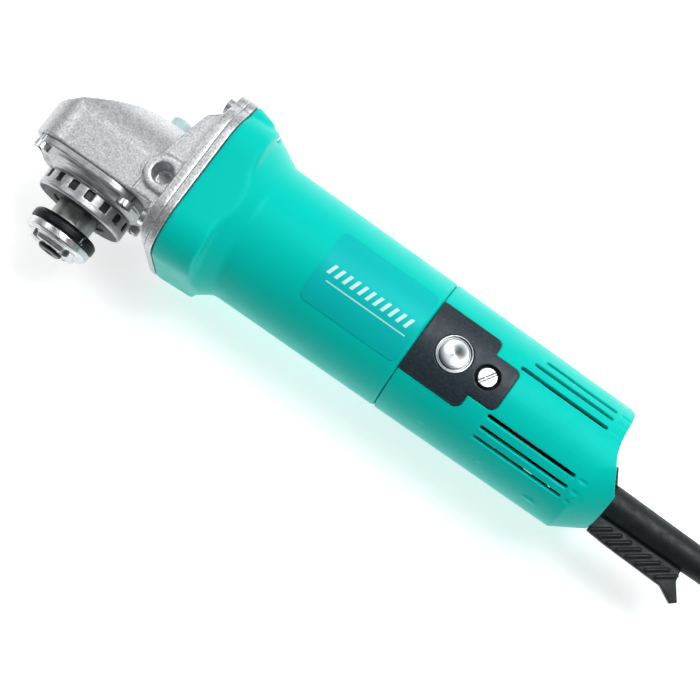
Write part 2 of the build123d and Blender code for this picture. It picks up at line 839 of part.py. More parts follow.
# =====================================================================
# front bearing plate and motor housing
# =====================================================================
with BuildPart() as front_bearing_plate:
    with BuildSketch(across(plate_x)):
        flange_face()
    extrude(amount=housing_x - plate_x)
    with BuildSketch(Plane.XY):
        outline(
            (plate_x, motor_y - lip_low),
            (housing_x, motor_y - flange_half + 0.1),
            (housing_x, motor_y - flange_half - 1),
            (plate_x, motor_y - flange_half - 1),
        )
    extrude(amount=flange_half, both=True, mode=Mode.SUBTRACT)
    with BuildSketch(across(front_bearing_x - 0.5)):
        Circle(front_bearing_r + 2.6)
    extrude(amount=front_bearing_w + 0.5)
    # spigot into the gear housing
    with BuildSketch(across(plate_x - 1.8)):
        Circle(front_bearing_r + 3.0 - gap)
    extrude(amount=1.8)
    with BuildSketch(across(front_bearing_x)):
        Circle(front_bearing_r)
    extrude(amount=front_bearing_w + 1.0, mode=Mode.SUBTRACT)
    with BuildSketch(across(plate_x - 2.0)):
        Circle(pitch_pinion + 2.6)
    extrude(amount=4.0, mode=Mode.SUBTRACT)
    # air exits between the bearing boss and the rim
    with BuildSketch(across(plate_x)):
        for start in (20, 110, 200, 290):
            sector(19.0, 25.0, start, 50)
    extrude(amount=housing_x - plate_x, mode=Mode.SUBTRACT)
    with BuildSketch(across(plate_x)):
        with Locations(*flange_screw_places):
            Circle(2.2)
    extrude(amount=housing_x - plate_x, mode=Mode.SUBTRACT)

with BuildPart() as shoulder_cap:
    with BuildSketch(motor_plane):
        with BuildLine():
            Polyline(
                (shoulder_x, flange_half + 0.6),
                (shoulder_x - 6, 2 * flange_half),
                (housing_x - 9, 2 * flange_half),
                (housing_x - 9, 0),
                (barrel_x + 4, 0),
                (barrel_x + 4, barrel_r - 3.0),
                (shoulder_x + 9.5, barrel_r - 0.5),
            )
            Spline(
                (shoulder_x + 9.5, barrel_r - 0.5),
                (shoulder_x + 4.6, barrel_r + 2.4),
                (shoulder_x, flange_half + 0.6),
                tangents=((-1, 0.5), (-1, 0.7)),
            )
        make_face()
    revolve(axis=motor_axis)

with BuildPart() as motor_housing:
    # rounded square with a little draft, cut off by a leaning, rounded shoulder
    with BuildSketch(across(housing_x)):
        RectangleRounded(2 * flange_half, 2 * flange_half, flange_r)
    extrude(amount=barrel_x - housing_x, taper=3.2)
    lean_axis = Axis((shoulder_x, motor_y, 0), (0, 0, 1))
    add(shoulder_cap.part.rotate(lean_axis, shoulder_lean), mode=Mode.INTERSECT)
    with BuildSketch(motor_plane):
        outline(
            (shoulder_x, 0), (shoulder_x, barrel_r + 0.1), (seam_x, seam_r), (seam_x, 0)
        )
    revolve(axis=motor_axis)
    with BuildSketch(across(housing_x)):
        with Locations(*ear_places):
            Circle(ear_r)
    extrude(amount=9.0, taper=14)
    # spigot that the rear cover slides over
    with BuildSketch(across(seam_x - 1)):
        Circle(spigot_r)
    extrude(amount=spigot_end - seam_x + 1)
    # inside: fan room, stator bore, brush room
    with BuildSketch(motor_plane):
        outline(
            (housing_x, 0),
            (housing_x, fan_r + 1.0),
            (barrel_x - 4.0, fan_r + 1.0),
            (barrel_x, stator_bore_r),
            (seam_x - 8.0, stator_bore_r),
            (seam_x - 5.0, spigot_r - 2.2),
            (web_x, spigot_r - 2.2),
            (web_x, 0),
        )
    revolve(axis=motor_axis, mode=Mode.SUBTRACT)
    # rear web: bearing seat, air holes, screw bosses for plates and cover
    with BuildSketch(across(web_x)):
        Circle(rear_bearing_r + sleeve_wall)
    extrude(amount=rear_bearing_x + rear_bearing_w + 1.5 - web_x, mode=Mode.SUBTRACT)
    with BuildSketch(across(web_x)):
        for start in (25, 115, 205, 295):
            sector(rear_bearing_r + sleeve_wall + 2.2, spigot_r - 2.6, start, 40)
    extrude(amount=spigot_end - web_x, mode=Mode.SUBTRACT)
    # square windows for the brush holders, on both sides
    with BuildSketch(Plane.XY.offset(-spigot_r - 1)):
        with Locations((brush_x, motor_y)):
            Rectangle(brush_w + 4.2, brush_h + 4.2)
    extrude(amount=2 * spigot_r + 2, mode=Mode.SUBTRACT)
    # threaded holes for the side plate screws
    for side in (-1, 1):
        with BuildSketch(Plane.XY.offset(side * (spigot_r + 1))):
            with Locations((plate_screw_x, motor_y)):
                Circle(1.8)
        extrude(amount=-side * 10, mode=Mode.SUBTRACT)
    # threaded holes for the flange screws
    with BuildSketch(across(housing_x)):
        with Locations(*flange_screw_places):
            Circle(2.1)
    extrude(amount=13.5, mode=Mode.SUBTRACT)

# the label wraps the barrel on both sides
def barrel_radius(x):
    return barrel_r + (seam_r - barrel_r) * (x - barrel_x - 2.0) / (seam_x - barrel_x - 2.0)


with BuildPart() as label:
    with BuildSketch(motor_plane):
        outline(
            (label_start, barrel_radius(label_start)),
            (label_end, barrel_radius(label_end)),
            (label_end, barrel_radius(label_end) + label_t),
            (label_start, barrel_radius(label_start) + label_t),
        )
    revolve(axis=motor_axis)
    with BuildSketch(Plane.XY.offset(-barrel_r - 2)):
        with Locations(((label_start + label_end) / 2, motor_y)):
            RectangleRounded(label_end - label_start, 2 * label_half, 2.6)
    extrude(amount=2 * barrel_r + 4, mode=Mode.INTERSECT)

# =====================================================================
# rear cover with vents, side plates, emblems and plate screws
# =====================================================================
def cover_radius(x):
    return seam_r + (tail_r - seam_r) * (x - seam_x) / (cover_end_x - seam_x)


def plate_outline(grow):
    # the T seen from the side: wide body, narrow tab towards the tail
    with Locations(((seam_x + side_plate_end) / 2, motor_y)):
        RectangleRounded(side_plate_end - seam_x + 2 * grow, 2 * side_plate_half + 2 * grow, 2.8)
    with Locations((seam_x + 4, motor_y)):
        Rectangle(8 + 2 * grow, 2 * side_plate_half + 2 * grow)
    with Locations(((side_plate_end - 6 + side_tab_end) / 2, motor_y)):
        RectangleRounded(side_tab_end - side_plate_end + 6 + 2 * grow, 2 * side_tab_half + 2 * grow, 2.6)


plate_seat = side_plate_t - 0.5
rocker_x = cover_end_x - 4.0
scoop_x = cover_end_x - 3.5
scoop_half = 9.5
clamp_x = scoop_x - 8.5
collar_x = tail_x - 12.6
collar_w = 3.4
cord_core_x = clamp_x - 6.0
clamp_boss_z = 8.4

with BuildPart() as plate_pocket:
    # what the side plates' seats take out of the cover, both sides at once
    with BuildSketch(Plane.XY.offset(-tail_r - 3)):
        plate_outline(gap)
    extrude(amount=2 * tail_r + 6)
    with BuildSketch(motor_plane):
        outline(
            (seam_x - 2, 0),
            (seam_x - 2, seam_r - plate_seat),
            (side_tab_end + 2, cover_radius(side_tab_end + 2) - plate_seat),
            (side_tab_end + 2, 0),
        )
    revolve(axis=motor_axis, mode=Mode.SUBTRACT)

with BuildPart() as tail_envelope:
    with BuildSketch(across(seam_x - 1)):
        Circle(tail_r + 3)
    extrude(amount=cover_end_x - seam_x + 1)
    with BuildSketch(across(cover_end_x)):
        Circle(tail_r + 0.2)
    with BuildSketch(across(tail_x + 1, motor_y + tail_rise)):
        Circle(tail_r + 0.2)
    loft()

with BuildPart() as rear_cover:
    with BuildSketch(motor_plane):
        outline(
            (seam_x, 0),
            (seam_x, seam_r),
            (cover_end_x, tail_r),
            (tail_x + 1, tail_r - 0.2),
            (tail_x + 1, 0),
        )
    revolve(axis=motor_axis)
    # side view of the tail: rounded top corner, hollow slope, flat end, chamfer
    with BuildSketch(motor_plane):
        with BuildLine():
            Line((seam_x, -tail_r - 3), (seam_x, tail_r + 3))
            Line((seam_x, tail_r + 3), (cover_end_x + 0.6, tail_r + 3))
            Line((cover_end_x + 0.6, tail_r + 3), (cover_end_x + 0.6, tail_r))
            ThreePointArc(
                (cover_end_x + 0.6, tail_r),
                (cover_end_x + 2.4, tail_r - 2.4),
                (cover_end_x + 3.1, tail_r - 6.0),
            )
            Spline(
                (cover_end_x + 3.1, tail_r - 6.0),
                (cover_end_x + 3.3, 10.2),
                (cover_end_x + 5.2, 3.3),
                (cover_end_x + 7.7, -0.9),
                (cover_end_x + 10.0, -4.7),
                (tail_x - 0.2, -7.7),
                tangents=((0.02, -1), (1, -1)),
            )
            Line((tail_x - 0.2, -7.7), (tail_x, -8.6))
            Line((tail_x, -8.6), (tail_x, -tail_r - 3))
            Line((tail_x, -tail_r - 3), (seam_x, -tail_r - 3))
        make_face()
    extrude(amount=tail_r + 3, both=True, mode=Mode.INTERSECT)
    # the belly of the tail rises towards its end
    add(tail_envelope.part, mode=Mode.INTERSECT)
    # hollow inside, over the motor housing's spigot
    with BuildSketch(motor_plane):
        outline(
            (seam_x - 1, 0),
            (seam_x - 1, spigot_r + gap),
            (scoop_x - 2.0, spigot_r + gap),
            (scoop_x - 2.0, 0),
        )
    revolve(axis=motor_axis, mode=Mode.SUBTRACT)
    with BuildSketch(across(scoop_x - 4, guard_y)):
        RectangleRounded(2 * guard_flange_r + 4, 2 * guard_flange_r + 0.4, 3)
    extrude(amount=collar_x - scoop_x + 4, mode=Mode.SUBTRACT)
    # recess behind the rear wall that holds the cord guard's collar
    with BuildSketch(across(collar_x - 0.2, guard_y)):
        Circle(guard_flange_r + gap)
    extrude(amount=collar_w + 0.2 + gap, mode=Mode.SUBTRACT)
    with BuildSketch(across(collar_x, guard_y)):
        Circle(guard_root_r + gap)
    extrude(amount=tail_x - collar_x + 2, mode=Mode.SUBTRACT)
    # scoop for the rocker and its aperture
    with BuildSketch(across(scoop_x, switch_y)):
        RectangleRounded(2 * scoop_half, 17.8, 3.0)
    extrude(amount=30, mode=Mode.SUBTRACT)
    with BuildSketch(across(scoop_x - 3, switch_y)):
        Rectangle(2 * 6.8 + 2 * gap, 2 * 8.8 + 2 * gap)
    extrude(amount=4, mode=Mode.SUBTRACT)
    # seats for the two side plates, with a spot face and hole for each screw
    add(plate_pocket.part, mode=Mode.SUBTRACT)
    with BuildSketch(Plane.XY.offset(-tail_r - 3)):
        with Locations((plate_screw_x, motor_y)):
            Circle(2.1)
    extrude(amount=2 * tail_r + 6, mode=Mode.SUBTRACT)
    for side in (-1, 1):
        with BuildSketch(Plane.XY.offset(side * plate_screw_seat)):
            with Locations((plate_screw_x, motor_y)):
                Circle(counterbore_r)
        extrude(amount=side * 5, mode=Mode.SUBTRACT)
    # vents: three above and three below the plate, on both sides
    for flip in (-1, 1):
        for above in (-1, 1):
            for number, angle in enumerate(slot_angles):
                lean = above * radians(angle)
                start = slot_start + (3.5 * number if above > 0 else 0)
                skin = cover_radius(slot_end)
                out = (0, sin(lean), flip * cos(lean))
                vent = Plane(
                    origin=((start + slot_end) / 2, motor_y + out[1] * skin, out[2] * skin),
                    x_dir=(1, 0, 0),
                    z_dir=out,
                )
                with BuildSketch(vent.offset(1.5)):
                    RectangleRounded(slot_end - start, slot_w, slot_w / 2 - 0.05)
                extrude(amount=-6, mode=Mode.SUBTRACT)
                # the shallow groove that carries each vent on to the tail end
                with BuildSketch(vent.offset(1.5)):
                    with Locations(((slot_end - start) / 2 + 12.2, 0)):
                        Rectangle(21.0, slot_w)
                extrude(amount=-2.0, mode=Mode.SUBTRACT)
    # posts for the cord clamp
    for side in (-1, 1):
        with BuildSketch(level(motor_y - 25.4)):
            with Locations((clamp_x, side * clamp_boss_z)):
                Circle(3.2)
                Circle(1.3, mode=Mode.SUBTRACT)
        extrude(amount=guard_y + 1.0 - motor_y + 25.4)

side_plates = []
for side in (-1, 1):
    with BuildPart() as side_plate:
        with BuildSketch(Plane.XY.offset(side * 14)):
            plate_outline(0)
        extrude(amount=side * 18)
        with BuildSketch(motor_plane):
            outline(
                (seam_x - 2, 0),
                (seam_x - 2, seam_r - plate_seat),
                (side_tab_end + 2, cover_radius(side_tab_end + 2) - plate_seat),
                (side_tab_end + 2, 0),
            )
        revolve(axis=motor_axis, mode=Mode.SUBTRACT)
        with BuildSketch(motor_plane):
            outline(
                (seam_x - 2, 0),
                (seam_x - 2, seam_r + 0.5),
                (side_tab_end + 2, cover_radius(side_tab_end + 2) + 0.5),
                (side_tab_end + 2, 0),
            )
        revolve(axis=motor_axis, mode=Mode.INTERSECT)
        with BuildSketch(Plane.XY.offset(side * 20)):
            with Locations((plate_screw_x, motor_y)):
                Circle(counterbore_r)
        extrude(amount=side * 12, mode=Mode.SUBTRACT)
        with BuildSketch(Plane.XY.offset(side * emblem_seat)):
            with Locations((emblem_x, motor_y)):
                Circle(emblem_r + gap)
        extrude(amount=side * 5, mode=Mode.SUBTRACT)
    side_plates.append(side_plate)

with BuildPart() as emblem_discs:
    for side in (-1, 1):
        with BuildSketch(Plane.XY.offset(side * emblem_seat)):
            with Locations((emblem_x, motor_y)):
                Circle(emblem_r)
        extrude(amount=side * 0.9)
        with BuildSketch(Plane.XY.offset(side * (emblem_seat + 0.7))):
            with Locations((emblem_x, motor_y)):
                ring_sketch(emblem_r - 0.7, emblem_r - 1.3)
        extrude(amount=side, mode=Mode.SUBTRACT)

with BuildPart() as plate_screws:
    for side in (-1, 1):
        with BuildSketch(Plane.XY.offset(side * plate_screw_seat)):
            with Locations((plate_screw_x, motor_y)):
                Circle(screw_head_r)
        extrude(amount=side * 1.8)
        with BuildSketch(Plane.XY.offset(side * plate_screw_seat)):
            with Locations((plate_screw_x, motor_y)):
                Circle(1.75)
        extrude(amount=-side * 9.0)
        with BuildSketch(Plane.XY.offset(side * (plate_screw_seat + 1.8))):
            with Locations(Location((plate_screw_x, motor_y), 58)):
                Rectangle(2 * screw_head_r + 1, 1.0)
        extrude(amount=-side * 0.9, mode=Mode.SUBTRACT)

# =====================================================================
# brush gear, both sides
# =====================================================================
brush_tip = commutator_r + 0.2
brush_back = brush_tip + brush_l
holder_end = sqrt(spigot_r**2 - (brush_h / 2 + 2) ** 2) - gap

with BuildPart() as brush_holders:
    for side in (-1, 1):
        with BuildSketch(Plane.XY.offset(side * (commutator_r + 1.4))):
            with Locations((brush_x, motor_y)):
                Rectangle(brush_w + 4.0, brush_h + 4.0)
                Rectangle(brush_w + 0.2, brush_h + 0.2, mode=Mode.SUBTRACT)
        extrude(amount=side * (holder_end - commutator_r - 1.4))

with BuildPart() as brushes:
    for side in (-1, 1):
        with BuildSketch(Plane.XY.offset(side * (commutator_r - 3))):
            with Locations((brush_x, motor_y)):
                Rectangle(brush_w, brush_h)
        extrude(amount=side * (brush_back - commutator_r + 3))
    with BuildSketch(across(commutator_x - 10)):
        Circle(brush_tip)
    extrude(amount=commutator_l + 20, mode=Mode.SUBTRACT)

with BuildPart() as brush_caps:
    for side in (-1, 1):
        with BuildSketch(Plane.XY.offset(side * holder_end)):
            with Locations((brush_x, motor_y)):
                Rectangle(brush_w + 0.1, brush_h + 0.1)
        extrude(amount=-side * 1.4)

with BuildPart() as brush_spring:
    length = holder_end - 1.4 - brush_back
    with BuildLine() as brush_coil:
        Helix(
            pitch=(length - 1.0) / 4,
            height=length - 1.0,
            radius=2.4,
            center=(brush_x, motor_y, brush_back + 0.5),
            direction=(0, 0, 1),
        )
    with BuildSketch(Plane(origin=brush_coil.line @ 0, z_dir=brush_coil.line % 0)):
        Circle(0.35)
    sweep(path=brush_coil.line)

with BuildPart() as brush_springs:
    add([brush_spring.part.rotate(motor_axis, turn) for turn in (0, 180)])

# =====================================================================
# switch and its rocker
# =====================================================================
with BuildPart() as switch_body:
    with BuildSketch(across(switch_x - 2, switch_y)):
        Rectangle(2 * 6.8, 2 * 8.8)
    extrude(amount=scoop_x - switch_x + 2)
    # bezel against the scoop's floor
    with BuildSketch(across(scoop_x, switch_y)):
        RectangleRounded(16.4, 17.4, 2.8)
    extrude(amount=0.9)
    # pocket that the rocker turns in
    with BuildSketch(Plane.XY.offset(-rocker_w / 2 - gap)):
        with Locations((rocker_x, switch_y)):
            Circle(rocker_r + 0.2)
    extrude(amount=rocker_w + 2 * gap, mode=Mode.SUBTRACT)
    # pivot pin
    with BuildSketch(Plane.XY.offset(-rocker_w / 2 - gap)):
        with Locations((rocker_x, switch_y)):
            Circle(rocker_pin_r)
    extrude(amount=rocker_w + 2 * gap)


def on_rocker(radius, angle):
    # a point of the rocker, leaning to its off side
    lean = radians(angle - rocker_angle)
    return (rocker_x + radius * cos(lean), switch_y + radius * sin(lean))


with BuildPart() as switch_rocker:
    with BuildSketch(Plane.XY.offset(-rocker_w / 2)):
        with BuildLine():
            ThreePointArc(on_rocker(rocker_r, 50), on_rocker(rocker_r, 80), on_rocker(rocker_r, 110))
            Polyline(
                on_rocker(rocker_r, 110), on_rocker(5.0, 145), on_rocker(5.0, 215), on_rocker(rocker_r, 250)
            )
            ThreePointArc(on_rocker(rocker_r, 250), on_rocker(rocker_r, 280), on_rocker(rocker_r, 310))
            Polyline(on_rocker(rocker_r, 310), on_rocker(3.6, 0), on_rocker(rocker_r, 50))
        make_face()
        with Locations((rocker_x, switch_y)):
            Circle(rocker_pin_r + gap, mode=Mode.SUBTRACT)
    extrude(amount=rocker_w)

# =====================================================================
# cord guard, clamp, cord and plug
# =====================================================================
guard_tip_x = tail_x + guard_length
web_end_x = tail_x + 37.0

with BuildPart() as cord_guard:
    guard_plane = Plane(origin=(0, guard_y, 0), x_dir=(1, 0, 0), z_dir=(0, 0, 1))
    with BuildSketch(guard_plane):
        outline(
            (collar_x, cord_r + gap / 2),
            (collar_x, guard_flange_r),
            (collar_x + collar_w, guard_flange_r),
            (collar_x + collar_w, guard_root_r),
            (tail_x + 4, guard_root_r),
            (guard_tip_x - 1.0, guard_tip_r),
            (guard_tip_x, guard_tip_r - 1.0),
            (guard_tip_x, cord_r + gap / 2),
        )
    revolve(axis=Axis((0, guard_y, 0), (1, 0, 0)))
    # thumb-wide lip that stands on the guard's root, against the slope
    with BuildSketch(motor_plane):
        outline(
            (tail_x - 4.4, -1.2),
            (tail_x - 5.8, 4.6),
            (tail_x - 3.4, 5.4),
            (tail_x - 0.2, -0.2),
            (tail_x + 1.0, -1.2),
        )
    extrude(amount=6.0, both=True)
    # ribbed fin along the underside of the guard, with the short peg at its end
    with BuildSketch(Plane.XY):
        outline(
            (tail_x + 0.3, guard_y - guard_root_r + 2.0),
            (tail_x + 0.3, guard_y - 14.0),
            (tail_x + 8.0, guard_y - 14.6),
            (web_end_x - 3.0, guard_y - 15.2),
            (web_end_x + 3.5, guard_y - 18.6),
            (web_end_x + 5.6, guard_y - 16.8),
            (web_end_x + 1.0, guard_y - 10.5),
            (web_end_x, guard_y - guard_tip_r + 1.0),
        )
    extrude(amount=1.6, both=True)
    # slanting ribs on both faces of the fin
    for number in range(8):
        rib_x = tail_x + 4.0 + 4.3 * number
        with BuildSketch(Plane.XY):
            with Locations(Location((rib_x, guard_y - 11.0), -54)):
                Rectangle(0.9, 9.0)
        extrude(amount=2.2, both=True)

with BuildPart() as cord_core:
    with BuildSketch(across(cord_core_x, guard_y)):
        Circle(cord_r)
    extrude(amount=guard_tip_x - cord_core_x)

with BuildPart() as cord_clamp:
    with BuildSketch(across(clamp_x - 3.0, guard_y + 3.3)):
        Rectangle(2 * clamp_boss_z + 6.0, 4.6)
    extrude(amount=6.0)
    with BuildSketch(across(clamp_x - 4.0, guard_y)):
        Circle(cord_r + gap / 2)
    extrude(amount=8.0, mode=Mode.SUBTRACT)
    for side in (-1, 1):
        with BuildSketch(level(guard_y)):
            with Locations((clamp_x, side * clamp_boss_z)):
                Circle(1.5)
        extrude(amount=8.0, mode=Mode.SUBTRACT)

clamp_screws = screw(
    level(guard_y + 5.6),
    [(clamp_x, side * clamp_boss_z) for side in (-1, 1)],
    2.6, 1.8, 1.25, 12.0, slot=False,
)

with BuildPart() as capacitor:
    with BuildSketch(level(motor_y - 22.0)):
        with Locations((switch_x - 2.0, 0)):
            RectangleRounded(17.0, 13.0, 1.0)
    extrude(amount=10.0)


def wire(points, radius, thickness):
    # an insulated wire bent round equal corners
    with BuildPart() as made:
        with BuildLine() as route:
            FilletPolyline(*points, radius=radius)
        with BuildSketch(Plane(origin=route.line @ 0, z_dir=route.line % 0)):
            Circle(thickness)
        sweep(path=route.line)
    return made.part


wire_r = 1.1
field_wires = [
    wire(
        [
            (stator_x + stator_l + coil_head + 0.2, motor_y + 11.3, side * 11.8),
            (switch_x - 16.0, motor_y + 11.3, side * 11.8),
            (switch_x - 9.0, motor_y + 13.0, side * 3.5),
            (switch_x - 2.2, motor_y + 13.0, side * 3.5),
        ],
        2.5,
        wire_r,
    )
    for side in (-1, 1)
]
supply_wires = [
    wire(
        [
            (cord_core_x - 0.2, guard_y, side * 1.8),
            (switch_x - 6.0, guard_y, side * 1.9),
            (switch_x - 9.0, motor_y + 6.0, side * 3.5),
            (switch_x - 2.2, motor_y + 6.0, side * 3.5),
        ],
        2.0,
        wire_r,
    )
    for side in (-1, 1)
]

with BuildPart() as lead_wires:
    add(field_wires + supply_wires)

# the free cord: out of the guard, down to the floor and into the coil
coil_x = 386.0
coil_y = 60.0
coil_mean_r = 37.5
coil_w = 21.0
coil_h = 19.5
cord_floor = floor_z + cord_r
coil_edge = coil_mean_r + coil_w / 2 - cord_r
cord_route = [
    (guard_tip_x, guard_y, 0.0),
    (306.0, guard_y, 0.0),
    (323.0, 26.4, -6.5),
    (342.0, 23.0, -19.0),
    (362.0, 18.4, -27.6),
    (coil_x - 1.0, coil_y - coil_edge + 0.3, cord_floor + 0.1),
]
plug_route = [
    (coil_x + 1.0, coil_y + coil_edge - 0.2, cord_floor + 0.1),
    (369.0, coil_y + coil_edge + 1.6, cord_floor + 0.3),
    (352.0, coil_y + coil_edge - 0.6, cord_floor + 2.0),
    (338.0, coil_y + coil_edge - 5.0, cord_floor + 3.2),
]


def corner_radii(route):
    # each corner is as round as its two runs allow
    radii = []
    for before, here, after in zip(route, route[1:], route[2:]):
        first = Vector(*here) - Vector(*before)
        second = Vector(*after) - Vector(*here)
        turn = radians(first.get_angle(second))
        radii.append(0.45 * min(first.length, second.length) / tan(turn / 2))
    return radii


def cord_tube(route):
    with BuildPart() as made:
        with BuildLine() as path:
            FilletPolyline(*route, radius=corner_radii(route))
        with BuildSketch(Plane(origin=path.line @ 0, z_dir=path.line % 0)):
            Circle(cord_r)
        sweep(path=path.line)
    length = sum(edge.length for edge in path.edges())
    print("cord length", length, "radii", [round(r) for r in corner_radii(route)])
    print("tube volume over section times length", made.part.volume / (pi * cord_r**2 * length))
    return made


power_cord = cord_tube(cord_route)
plug_cord = cord_tube(plug_route)

with BuildPart() as cord_coil:
    with BuildSketch(Plane(origin=(coil_x, coil_y, floor_z), x_dir=(1, 0, 0), z_dir=(0, -1, 0))):
        with Locations((coil_mean_r, coil_h / 2)):
            RectangleRounded(coil_w, coil_h, cord_r)
    revolve(axis=Axis((coil_x, coil_y, 0), (0, 0, 1)))

# plug: moulded body, strain relief and two round pins
plug_aim = Vector(*plug_route[-1]) - Vector(*plug_route[-2])
plug_plane = Plane(origin=plug_route[-1], x_dir=(plug_aim.Y, -plug_aim.X, 0), z_dir=plug_aim)

with BuildPart() as plug_body:
    with BuildSketch(plug_plane):
        Circle(5.4)
    with BuildSketch(plug_plane.offset(9)):
        Circle(6.2)
    loft()
    with BuildSketch(plug_plane.offset(9)):
        RectangleRounded(17.0, 13.0, 5.0)
    with BuildSketch(plug_plane.offset(20)):
        RectangleRounded(25.0, 13.2, 5.5)
    loft()
    with BuildSketch(plug_plane.offset(20)):
        RectangleRounded(26.0, 13.4, 5.5)
    extrude(amount=14)
    with BuildSketch(plug_plane.offset(34)):
        with Locations((-9.5, 0), (9.5, 0)):
            Circle(2.0)
    extrude(amount=-8, mode=Mode.SUBTRACT)

with BuildPart() as plug_pins:
    with BuildSketch(plug_plane.offset(26)):
        with Locations((-9.5, 0), (9.5, 0)):
            Circle(2.0)
    extrude(amount=27)
    fillet(plug_pins.edges().sort_by(Axis(origin=plug_route[-1], direction=plug_aim))[-2:], 0.9)

# =====================================================================
# the finished pieces, one file each
# =====================================================================
pieces = {
    "gear_housing": gear_housing,
    "bearing_box": bearing_box,
    "bearing_box_screws": box_screws,
    "flange_screws": flange_screws,
    "bearing_retainer": bearing_retainer,
    "spindle_bearing": spindle_bearing,
    "dust_seal": dust_seal,
    "top_bush": top_bush,
    "spindle": spindle,
    "inner_flange": inner_flange,
    "lock_nut": lock_nut,
    "ring_gear": ring_gear,
    "lock_button": lock_button,
    "lock_pin": lock_pin,
    "lock_spring": lock_spring,
    "pinion": pinion,
    "armature_shaft": armature_shaft,
    "armature_core": armature_core,
    "armature_winding": armature_winding,
    "commutator": commutator,
    "fan": fan,
    "front_bearing": front_bearing,
    "rear_bearing": rear_bearing,
    "rear_bearing_sleeve": rear_bearing_sleeve,
    "stator_core": stator_core,
    "stator_winding": stator_winding,
    "fan_baffle": fan_baffle,
    "front_bearing_plate": front_bearing_plate,
    "motor_housing": motor_housing,
    "label": label,
    "rear_cover": rear_cover,
    "left_side_plate": side_plates[1],
    "right_side_plate": side_plates[0],
    "emblem_discs": emblem_discs,
    "plate_screws": plate_screws,
    "brush_holders": brush_holders,
    "brushes": brushes,
    "brush_springs": brush_springs,
    "brush_caps": brush_caps,
    "switch_body": switch_body,
    "switch_rocker": switch_rocker,
    "cord_guard": cord_guard,
    "cord_core": cord_core,
    "cord_clamp": cord_clamp,
    "clamp_screws": clamp_screws,
    "capacitor": capacitor,
    "lead_wires": lead_wires,
    "power_cord": power_cord,
    "plug_cord": plug_cord,
    "cord_coil": cord_coil,
    "plug_body": plug_body,
    "plug_pins": plug_pins,
}
for name, piece in pieces.items():
    piece.part.label = name
    export_step(piece.part, f"parts/{name}.step")
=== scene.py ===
import json
import math
import bpy
from mathutils import Matrix, Vector

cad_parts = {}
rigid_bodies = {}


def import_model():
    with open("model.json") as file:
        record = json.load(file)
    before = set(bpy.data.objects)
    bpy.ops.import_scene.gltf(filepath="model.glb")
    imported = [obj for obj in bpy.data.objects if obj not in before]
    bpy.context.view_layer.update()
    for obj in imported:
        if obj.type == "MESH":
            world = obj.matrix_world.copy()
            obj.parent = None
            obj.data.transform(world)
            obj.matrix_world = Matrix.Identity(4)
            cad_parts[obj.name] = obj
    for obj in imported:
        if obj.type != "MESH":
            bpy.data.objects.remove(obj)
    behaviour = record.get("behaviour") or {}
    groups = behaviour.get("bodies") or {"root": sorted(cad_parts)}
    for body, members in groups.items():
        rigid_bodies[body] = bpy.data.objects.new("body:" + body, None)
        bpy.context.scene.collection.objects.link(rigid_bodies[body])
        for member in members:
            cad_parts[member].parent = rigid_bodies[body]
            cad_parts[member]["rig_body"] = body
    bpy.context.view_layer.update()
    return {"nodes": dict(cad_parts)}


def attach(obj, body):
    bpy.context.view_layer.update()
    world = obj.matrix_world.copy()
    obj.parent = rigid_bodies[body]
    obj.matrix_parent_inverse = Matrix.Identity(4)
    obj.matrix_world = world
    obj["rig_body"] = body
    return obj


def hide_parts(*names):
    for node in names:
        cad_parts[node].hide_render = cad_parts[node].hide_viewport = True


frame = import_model()
nodes = frame["nodes"]
mm = 0.001

# heights and places that several pieces share, in millimetres
layout = {
    "floorZ": -33.3,
    "guardTip": (290.7, 27.3, 0.0),
    "cordRadius": 3.5,
    "emblem": (147.5, 33.4),
    "labelMiddle": (110.05, 33.4),
}

# camera
cameraSetup = {
    "aim": (0.115, 0.0334, 0.0),
    "aside": (0.01005, 0.01229),
    "turn": (-35.945, -10.005, -3.832),
    "distance": 0.7,
    "lens": 95.2,
}


def makeCamera(setup):
    turnZ, turnX, turnY = [math.radians(a) for a in setup["turn"]]
    facing = (
        Matrix.Rotation(turnZ, 3, "Z") @ Matrix.Rotation(turnX, 3, "X") @ Matrix.Rotation(turnY, 3, "Y")
    ).transposed()
    back = Vector((-setup["aside"][0], -setup["aside"][1], setup["distance"]))
    bpy.ops.object.camera_add()
    camera = bpy.context.active_object
    camera.matrix_world = Matrix.Translation(Vector(setup["aim"]) + facing @ back) @ facing.to_4x4()
    camera.data.lens = setup["lens"]
    camera.data.sensor_width = 36.0
    camera.data.clip_start = 0.01
    bpy.context.scene.camera = camera
    return camera


makeCamera(cameraSetup)
print("camera set")

# small helpers


def pickOnly(*objects):
    # operators act on all that is selected, so only these stay selected
    bpy.ops.object.select_all(action="DESELECT")
    for o in objects:
        o.select_set(True)
    bpy.context.view_layer.objects.active = objects[0]


def applyAll(piece):
    pickOnly(piece)
    for modifier in list(piece.modifiers):
        bpy.ops.object.modifier_apply(modifier=modifier.name)


def settle(piece):
    # the place goes into the mesh, the object stays at the origin
    pickOnly(piece)
    bpy.ops.object.transform_apply(location=True, rotation=True, scale=True)


def faceOut(piece):
    pickOnly(piece)
    bpy.ops.object.mode_set(mode="EDIT")
    bpy.ops.mesh.select_all(action="SELECT")
    bpy.ops.mesh.remove_doubles(threshold=0.000002)
    bpy.ops.mesh.normals_make_consistent(inside=False)
    bpy.ops.object.mode_set(mode="OBJECT")


def finishWith(piece, material):
    piece.data.materials.clear()
    piece.data.materials.append(material)


# materials


